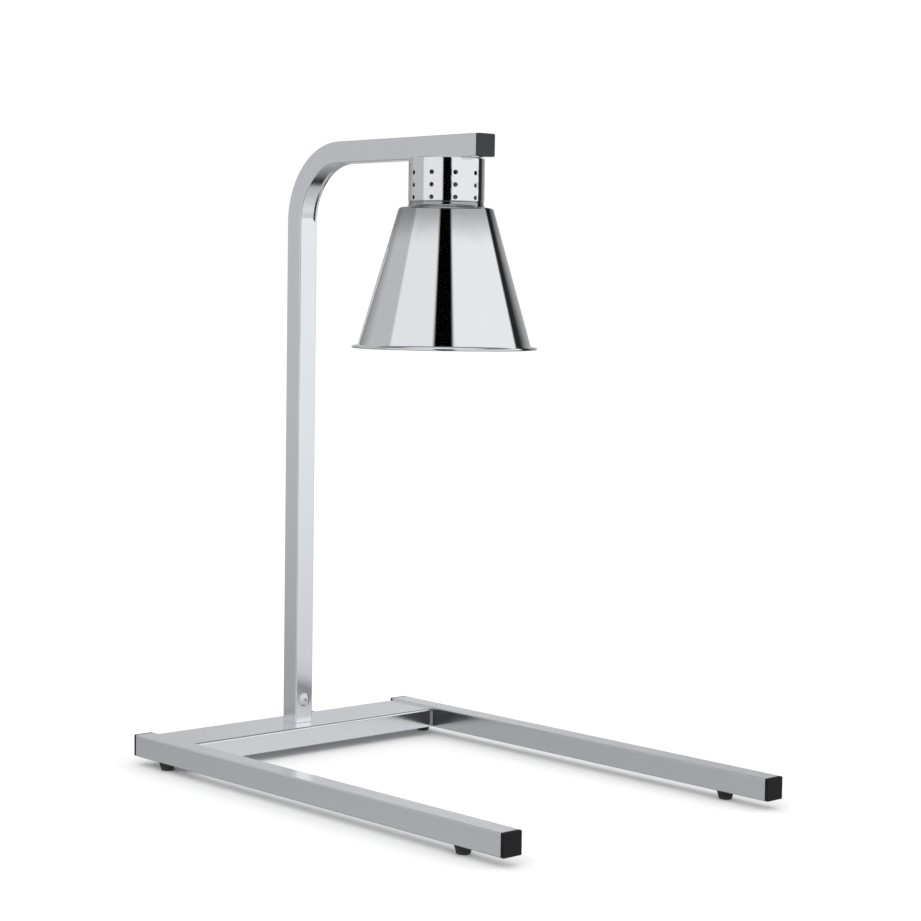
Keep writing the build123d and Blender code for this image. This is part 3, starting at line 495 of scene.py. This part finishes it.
# CAD piece: material
PAINT = {
    "base_rail_right": "rail", "base_rail_left": "rail2", "base_cross_channel": "channel",
    "base_weld_beads": "weld", "rail_front_caps": "shaded_cap", "rail_rear_caps": "shaded_cap",
    "arm_end_cap": "cap", "rubber_feet": "rubber", "foot_washers": "zinc",
    "foot_screws": "zinc", "foot_rivet_nuts": "zinc", "post_stub": "stub",
    "post_and_arm_tube": "bent", "post_screw": "steel_screw", "post_screw_nut": "zinc",
    "vented_collar": "collar", "lamp_shade": "shade", "shade_screws": "zinc",
    "shade_nuts": "zinc", "threaded_nipple": "zinc", "nipple_washer": "zinc",
    "earth_tag": "brass", "nipple_nuts": "zinc", "holder_bracket": "zinc",
    "porcelain_holder": "porcelain", "holder_screw_shell": "brass",
    "holder_centre_contact": "brass", "holder_terminal_screws": "brass",
    "holder_screws": "zinc", "bulb_screw_cap": "bulb_cap", "bulb_insulator": "black_glass",
    "bulb_contact": "bulb_cap", "bulb_glass": "glass", "bulb_reflector": "silver",
    "bulb_stem": "stem", "bulb_lead_wires": "tungsten", "bulb_filament": "tungsten",
    "switch_housing": "housing", "switch_rocker": "rocker", "switch_terminals": "brass",
    "cord_bush": "rubber", "power_cord": "cord", "cord_tie": "tie", "plug_body": "plug",
    "plug_pins": "brass", "wire_neutral": "blue", "wire_live": "brown", "wire_earth": "green",
}
for name, key in PAINT.items():
    slots = nodes[name].data.materials
    if not slots:
        slots.append(MATERIALS[key])
    for i in range(len(slots)):
        slots[i] = MATERIALS[key]


# ---------------------------------------------------------------- mesh helpers
def new_object(name, bm, material, body, replaces, sharp):
    """Turns bm into a smooth-shaded object; edges over `sharp` degrees stay sharp."""
    mesh = bpy.data.meshes.new(name)
    bm.to_mesh(mesh)
    bm.free()
    mesh.shade_smooth()
    mesh.set_sharp_from_angle(angle=math.radians(sharp))
    ob = bpy.data.objects.new(name, mesh)
    scene.collection.objects.link(ob)
    mesh.materials.append(MATERIALS[material])
    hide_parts(replaces)
    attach(ob, body)


def arc(centre, radius, start, end, steps):
    """Points on an arc, both ends included; angles in degrees."""
    angles = [math.radians(start + (end - start) * k / steps) for k in range(steps + 1)]
    return [(centre[0] + radius * math.cos(a), centre[1] + radius * math.sin(a)) for a in angles]


def line(start, end, steps, first):
    """Evenly spaced points; first=0 leaves out the end and first=1 the start."""
    return [tuple(a + (b - a) * k / steps for a, b in zip(start, end))
            for k in range(first, steps + first)]


def ring(bm, centre, radius, z, segments, start=0.0):
    """A level ring of vertices in metres, or a single one at radius 0."""
    if radius == 0:
        return [bm.verts.new((centre[0], centre[1], z))]
    angles = [start + 2 * math.pi * k / segments for k in range(segments)]
    return [bm.verts.new((centre[0] + radius * math.cos(a), centre[1] + radius * math.sin(a), z))
            for a in angles]


def stitch(bm, a, b):
    """Faces between two closed rings, either of which may be a single vertex."""
    count = max(len(a), len(b))
    if count == 1:
        return
    for k in range(count):
        j = (k + 1) % count
        if len(a) == 1:
            bm.faces.new((a[0], b[k], b[j]))
        elif len(b) == 1:
            bm.faces.new((a[k], a[j], b[0]))
        else:
            bm.faces.new((a[k], a[j], b[j], b[k]))


def lathe(profile, segments):
    """Turns a closed outline of (radius, z) in mm about the lamp axis."""
    bm = bmesh.new()
    rings = [ring(bm, LAMP, r * MM, z * MM, segments) for r, z in profile]
    for a, b in zip(rings, rings[1:] + rings[:1]):
        stitch(bm, a, b)
    bmesh.ops.recalc_face_normals(bm, faces=bm.faces)
    return bm


# -------------------------------------------------------------- polished shade
def shade_profile():
    """Section (radius, z) in mm: down the outside, round the rim bead, up the inside."""
    top = SHADE_HI[2] / MM
    shoulder = top - NECK_HEIGHT
    rim_z = SHADE_LO[2] / MM
    rim_r = (SHADE_HI[0] - SHADE_LO[0]) / 2 / MM
    cone_top_r = 53.1
    cone_low_r = rim_r - 7.4
    # Elevation of the cone's outward normal
    slope = math.degrees(math.atan2(cone_low_r - cone_top_r, (shoulder - 2.3) - (rim_z + 4.7)))
    fillet = (45.3, shoulder + 3.9)         # centre of the bend from neck to shoulder
    corner = (49.6, shoulder - 3.6)         # centre of the bend from shoulder to cone
    corner_r = 3.6
    bead_r = 1.5

    outer = [(34.5, top), (37.0, top), (39.5, top), (40.9, top), (41.3, top - 0.07),
             (41.62, top - 0.32), (41.8, top - 0.9), (41.8, shoulder + 4.4)]
    outer += arc(fillet, 3.5, start=180, end=262, steps=12)
    outer += [(47.0, shoulder + 0.15), (48.4, shoulder + 0.03)]
    outer += arc(corner, corner_r, start=90, end=90 - (90 - slope) * 0.985, steps=10)
    cone_top = outer[-1]
    outer += line(cone_top, (cone_low_r, rim_z + 4.9), steps=40, first=1)
    outer += [(cone_low_r + 0.55, rim_z + 3.55), (cone_low_r + 1.4, rim_z + 2.7),
              (cone_low_r + 2.6, rim_z + 2.2), (cone_low_r + 4.2, rim_z + 2.05)]
    outer += arc((rim_r - bead_r, rim_z + bead_r), bead_r, start=155, end=-180, steps=22)

    inner = [(cone_low_r + 3.9, rim_z + 1.25), (cone_low_r + 2.4, rim_z + 1.4),
             (cone_low_r + 0.8, rim_z + 2.0), (cone_low_r - 0.1, rim_z + 3.1),
             (cone_low_r - 0.75, rim_z + 4.8)]
    inner += line((cone_low_r - SHEET, rim_z + 5.0), (cone_top[0] - SHEET, cone_top[1] - 0.25),
                  steps=40, first=1)
    inner += arc(corner, corner_r - SHEET, start=slope, end=90, steps=8)
    inner += [(47.0, shoulder - 0.68), (45.2, shoulder - 0.45)]
    inner += arc(fillet, 3.5 + SHEET, start=262, end=180, steps=10)
    inner += [(41.0, top - 1.3), (40.6, top - SHEET), (38.0, top - SHEET), (34.5, top - SHEET)]
    return outer + inner


new_object("shade_spun_cone", lathe(shade_profile(), segments=320), "shade",
           body="stand", replaces="lamp_shade", sharp=35)

# ----------------------------------------------------------- perforated collar
COLLAR_TOP, COLLAR_LOW = COLLAR_HI[2] / MM, COLLAR_LO[2] / MM
COLLAR_R = (COLLAR_HI[0] - COLLAR_LO[0]) / 2 / MM
INNER_R = COLLAR_R - SHEET
TOP_BEND, LOW_BEND = 1.2, 1.3           # outside radii of the two edges
VENT_COLUMNS = 10
VENT_START = -28.8                      # azimuth of the first column, degrees
VENT_STEP = 360.0 / VENT_COLUMNS
VENT_ROWS = (655.9, 669.5, 683.0)       # z of the vent centres
VENT_R = 2.5
CELL_STEPS = 12                         # mesh steps across a cell, and half as many up it
# Heights that part the cells: midway between rows
CELL_CUTS = (COLLAR_LOW + LOW_BEND, (VENT_ROWS[0] + VENT_ROWS[1]) / 2,
             (VENT_ROWS[1] + VENT_ROWS[2]) / 2, 689.8)
# Outer face of a cell: (share of the way from vent edge to cell border, radius)
VENT_SECTION = (
    (0.0, INNER_R), (0.0, COLLAR_R - SHEET * 0.5), (0.0, COLLAR_R - 0.12), (0.022, COLLAR_R),
    (0.08, COLLAR_R), (0.2, COLLAR_R), (0.45, COLLAR_R), (0.75, COLLAR_R), (1.0, COLLAR_R))


def wrapped(bm, degrees, z, radius):
    """A vertex on the collar's cylinder; z and radius in mm."""
    a = math.radians(degrees)
    return bm.verts.new((LAMP[0] + radius * MM * math.cos(a),
                         LAMP[1] + radius * MM * math.sin(a), z * MM))


def vent_cell(bm, middle_a, a0, a1, row, z0, z1):
    """A rectangular patch with a round vent, wrapped on the cylinder, outside and inside."""
    corners = ((a0, z0), (a1, z0), (a1, z1), (a0, z1))
    border = []
    for i, steps in enumerate((CELL_STEPS, CELL_STEPS // 2) * 2):
        border += line(corners[i], corners[(i + 1) % 4], steps, first=0)
    mm_per_degree = math.radians(1.0) * COLLAR_R

    def loop(share, radius):
        verts = []
        for a, z in border:
            across, up = (a - middle_a) * mm_per_degree, z - row
            distance = math.hypot(across, up)
            edge_x, edge_z = across / distance * VENT_R, up / distance * VENT_R
            verts.append(wrapped(bm, middle_a + (edge_x + (across - edge_x) * share) / mm_per_degree,
                                 row + edge_z + (up - edge_z) * share, radius))
        return verts

    outside = [loop(share, radius) for share, radius in VENT_SECTION]
    inside = [outside[0]] + [loop(share, INNER_R) for share in (0.25, 0.6, 1.0)]
    for loops in (outside, inside):
        for a, b in zip(loops, loops[1:]):
            stitch(bm, a, b)


def plain_strip(bm, a0, a1, z0, z1):
    """Wall above one column of vents, outside and inside."""
    rows = 3
    for radius in (COLLAR_R, INNER_R):
        grid = [[wrapped(bm, a0 + (a1 - a0) * k / CELL_STEPS, z0 + (z1 - z0) * q / rows, radius)
                 for k in range(CELL_STEPS + 1)] for q in range(rows + 1)]
        for low, high in zip(grid, grid[1:]):
            for k in range(CELL_STEPS):
                bm.faces.new((low[k], low[k + 1], high[k + 1], high[k]))


def turned_edge(bm, face_z, up, bend, bend_steps, flat_radii):
    """Rounded edge and flat annulus at the top (up=1) or bottom (up=-1) of the collar."""
    centre = (COLLAR_R - bend, face_z - up * bend)
    profile = arc(centre, bend, start=0, end=90 * up, steps=bend_steps)
    profile += [(r, face_z) for r in flat_radii]
    profile += [(r, face_z - up * SHEET) for r in reversed(flat_radii)]
    profile += arc(centre, bend - SHEET, start=90 * up, end=0, steps=4)
    start = math.radians(VENT_START - VENT_STEP / 2)
    rings = [ring(bm, LAMP, r * MM, z * MM, VENT_COLUMNS * CELL_STEPS, start)
             for r, z in profile]
    for a, b in zip(rings, rings[1:]):
        stitch(bm, a, b)


def collar_mesh():
    bm = bmesh.new()
    for column in range(VENT_COLUMNS):
        middle_a = VENT_START + column * VENT_STEP
        a0, a1 = middle_a - VENT_STEP / 2, middle_a + VENT_STEP / 2
        for row, z0, z1 in zip(VENT_ROWS, CELL_CUTS, CELL_CUTS[1:]):
            vent_cell(bm, middle_a, a0, a1, row, z0, z1)
        plain_strip(bm, a0, a1, CELL_CUTS[-1], COLLAR_TOP - TOP_BEND)
    turned_edge(bm, COLLAR_TOP, 1, TOP_BEND, bend_steps=6, flat_radii=(36, 25, 14, 6.7))
    turned_edge(bm, COLLAR_LOW, -1, LOW_BEND, bend_steps=7, flat_radii=(38, 34.5))
    bmesh.ops.remove_doubles(bm, verts=bm.verts, dist=2e-6)
    bmesh.ops.recalc_face_normals(bm, faces=bm.faces)
    return bm


new_object("collar_perforated", collar_mesh(), "collar",
           body="stand", replaces="vented_collar", sharp=40)

# ------------------------------------------------------------------ bulb glass
# (radius, z) in mm, from the neck down to the centre of the face
GLASS_OUTER = [
    (12.1, 640.0), (12.2, 634.0), (13.6, 626.0), (20.0, 612.0), (35.0, 588.0), (50.0, 563.0),
    (60.0, 541.0), (63.5, 522.0), (59.5, 508.6), (48.0, 501.8), (25.0, 498.2), (0.0, 497.0)]
GLASS_INNER = [
    (10.9, 640.0), (11.0, 634.0), (12.4, 626.3), (18.9, 612.6), (33.9, 588.7), (48.8, 563.7),
    (58.8, 541.4), (62.2, 522.0), (58.4, 509.5), (47.6, 503.0), (25.0, 499.5), (0.0, 498.3)]
SILVER_LOW, SILVER_HIGH = 541.0, 626.5      # z limits of the silvering
SILVER_GAPS = (0.25, 0.65)                  # its two faces, measured in from the glass


def spline(points, per=10):
    """Catmull-Rom curve with `per` steps a span, mirrored across the axis at its end."""
    curve = []
    for i in range(len(points) - 1):
        p0 = points[max(i - 1, 0)]
        p1, p2 = points[i], points[i + 1]
        p3 = points[i + 2] if i + 2 < len(points) else (-p1[0], p1[1])
        for k in range(per):
            t = k / per
            curve.append(tuple(
                0.5 * (2 * b + (c - a) * t + (2 * a - 5 * b + 4 * c - d) * t * t
                       + (3 * b - a - 3 * c + d) * t ** 3)
                for a, b, c, d in zip(p0, p1, p2, p3)))
    curve.append(points[-1])
    return curve


inside = spline(GLASS_INNER)
new_object("bulb_glass_blown", lathe(spline(GLASS_OUTER) + inside[::-1], segments=160), "glass",
           body="bulb", replaces="bulb_glass", sharp=40)

silvered = [p for p in inside if SILVER_LOW < p[1] < SILVER_HIGH]
silver_profile = [(r - SILVER_GAPS[0], z) for r, z in silvered]
silver_profile += [(r - SILVER_GAPS[1], z) for r, z in silvered[::-1]]
new_object("bulb_silvering", lathe(silver_profile, segments=160), "silver",
           body="bulb", replaces="bulb_reflector", sharp=40)

# ----------------------------------------------------------------------- world
# Reflected panels: (azimuth of the mirroring surface from the viewer, degrees; level)
PANELS = [(-90, 0.6), (-80, 0.25), (-60, 0.5), (-40, 0.5), (-38, 0.8), (-9, 0.8), (-7, 0.0),
          (4, 0.0), (6, 0.85), (53, 0.85), (55, 0.02), (62, 0.02), (70, 0.3), (90, 0.6)]
# Dimming below the horizon: (0 at 40 degrees down to 1 at the horizon, level)
BELOW_HORIZON = [(0.0, 0.60), (0.50, 0.84), (0.645, 0.90), (0.685, 0.80), (0.71, 0.70),
                 (0.74, 0.63), (0.775, 0.68), (0.81, 0.83), (0.90, 0.96), (1.0, 1.0)]


def build_world():
    """Plain white for camera and diffuse rays, studio panels for glossy rays."""
    world = bpy.data.worlds.new("studio")
    scene.world = world
    world.use_nodes = True
    sky = Nodes(world.node_tree)
    x, y, z = sky.split(sky.node("ShaderNodeTexCoord").outputs["Generated"])
    sine = sky.math("MINIMUM", sky.math("MAXIMUM", z, -1.0), 1.0)
    elevation = sky.times(sky.math("ARCSINE", sine), 180 / math.pi)

    # Azimuth of the surface that mirrors this ray to the viewer. Low rays are first made
    # level; the change fades out between 13 and 17 degrees up.
    low_ray = sky.remap(elevation, span=(13, 17), to=(1.0, 0.0), smooth=True)
    divisor = sky.plus(1.0, sky.times(low_ray, sky.minus(sky.length(x, y), 1.0)))
    half_x = sky.plus(sky.math("DIVIDE", x, divisor), math.cos(VIEW_AZIMUTH))
    half_y = sky.plus(sky.math("DIVIDE", y, divisor), math.sin(VIEW_AZIMUTH))
    azimuth = sky.minus(sky.math("ARCTAN2", half_y, half_x), VIEW_AZIMUTH)
    azimuth = sky.math("WRAP", azimuth, math.pi, -math.pi)
    shift = sky.remap(elevation, span=(8, 16), to=(math.radians(2.4), math.radians(0.9)),
                      smooth=True)
    azimuth = sky.minus(azimuth, shift)

    across = sky.remap(azimuth, span=(-math.pi / 2, math.pi / 2))
    panels = sky.grey_ramp(across, [((degrees + 90) / 180.0, level) for degrees, level in PANELS])
    dimming = sky.grey_ramp(sky.remap(elevation, span=(-40, 0)), BELOW_HORIZON)
    glossy = sky.mix(1.0, panels, dimming, blend="MULTIPLY")
    upper = sky.remap(elevation, span=(37, 43), smooth=True)
    glossy = sky.mix(upper, glossy, (0.20, 0.202, 0.206))
    overhead = sky.remap(elevation, span=(57, 68), smooth=True)
    glossy = sky.mix(overhead, glossy, (0.80, 0.81, 0.82))
    cool_cast = (0.978, 0.995, 1.018)
    glossy = sky.mix(1.0, glossy, cool_cast, blend="MULTIPLY")

    rays = sky.node("ShaderNodeLightPath").outputs
    plain = sky.mix(rays["Is Camera Ray"], (1.10, 1.10, 1.10), (1.02, 1.02, 1.02))
    background = sky.node("ShaderNodeBackground")
    sky.put(background.inputs["Color"], sky.mix(rays["Is Glossy Ray"], plain, glossy))
    background.inputs["Strength"].default_value = 1.0
    output = sky.node("ShaderNodeOutputWorld")
    sky.link(background.outputs[0], output.inputs["Surface"])


# ----------------------------------------------------------------------- floor
FLOOR_RADII = (0.0, 0.4, 0.8, 1.5, 3.0, 6.0, 14.0, 40.0)
FLOOR_SEGMENTS = 64


def floor_material():
    """Matt white from above, clear from below so that the underside can be seen."""
    mat = Material("studio_floor")
    cloud = mat.noise(mat.point, scale=1.3, roughness=0.5)
    colour = mat.mix(mat.remap(cloud), (0.955, 0.955, 0.955), (0.95, 0.95, 0.95))
    mat.set(base_color=colour, roughness=0.9, specular_ior_level=0.0)
    clear = mat.node("ShaderNodeBsdfTransparent")
    either = mat.node("ShaderNodeMixShader")
    mat.put(either.inputs[0], mat.geometry("Backfacing"))
    mat.link(mat.bsdf.outputs[0], either.inputs[1])
    mat.link(clear.outputs[0], either.inputs[2])
    mat.link(either.outputs[0], mat.output.inputs["Surface"])
    return mat.material


def build_floor():
    material = floor_material()
    bm = bmesh.new()
    rings = [ring(bm, (0, 0), radius, 0, FLOOR_SEGMENTS) for radius in FLOOR_RADII]
    for a, b in zip(rings, rings[1:]):
        for k in range(FLOOR_SEGMENTS):     # wound so that every face looks up
            j = (k + 1) % FLOOR_SEGMENTS
            bm.faces.new((a[0], b[k], b[j]) if len(a) == 1 else (a[k], b[k], b[j], a[j]))
    mesh = bpy.data.meshes.new("floor")
    bm.to_mesh(mesh)
    bm.free()
    floor = bpy.data.objects.new("floor", mesh)
    scene.collection.objects.link(floor)
    mesh.materials.append(material)
    floor.location.z = -0.0002
    floor.visible_glossy = False


# ----------------------------------------------------------- lights and camera
def area_light(name, place, target, size, power):
    light = bpy.data.lights.new(name, "AREA")
    light.shape = "RECTANGLE"
    light.size, light.size_y = size
    light.energy = power
    ob = bpy.data.objects.new(name, light)
    ob.location = place
    ob.rotation_euler = (Vector(target) - Vector(place)).to_track_quat("-Z", "Y").to_euler()
    ob.visible_glossy = False
    scene.collection.objects.link(ob)


def build_camera(eye, yaw, pitch, roll):
    """Camera at eye; yaw from +X, pitch downwards and roll, all in radians."""
    data = bpy.data.cameras.new("photo_camera")
    camera = bpy.data.objects.new("photo_camera", data)
    scene.collection.objects.link(camera)
    scene.camera = camera
    forward = Vector((math.cos(yaw) * math.cos(pitch), math.sin(yaw) * math.cos(pitch),
                      -math.sin(pitch)))
    level = Vector((math.sin(yaw), -math.cos(yaw), 0.0))
    upright = level.cross(forward)
    right = math.cos(roll) * level + math.sin(roll) * upright
    up = -math.sin(roll) * level + math.cos(roll) * upright
    turn = Matrix((right, up, -forward)).transposed()
    camera.matrix_world = Matrix.Translation(eye) @ turn.to_4x4()
    data.sensor_width = 36.0
    data.lens = 88.583844
    data.clip_end = 100.0
    data.shift_x = -0.00076004343


build_world()
build_floor()
area_light("key", place=(0.6, -2.4, 2.3), target=(0, 0, 0.2), size=(1.8, 1.2), power=9.0)
area_light("fill", place=(1.8, 1.5, 1.6), target=(0, 0, 0.3), size=(1.6, 1.2), power=4.0)
build_camera(eye=Vector((2.1306 + POST[0], -1.6894, 0.5494)),
             yaw=2.400, pitch=0.0728, roll=0.0148)

scene.view_settings.view_transform = "Standard"
scene.view_settings.look = "None"
scene.view_settings.exposure = 0.0
scene.view_settings.gamma = 1.0
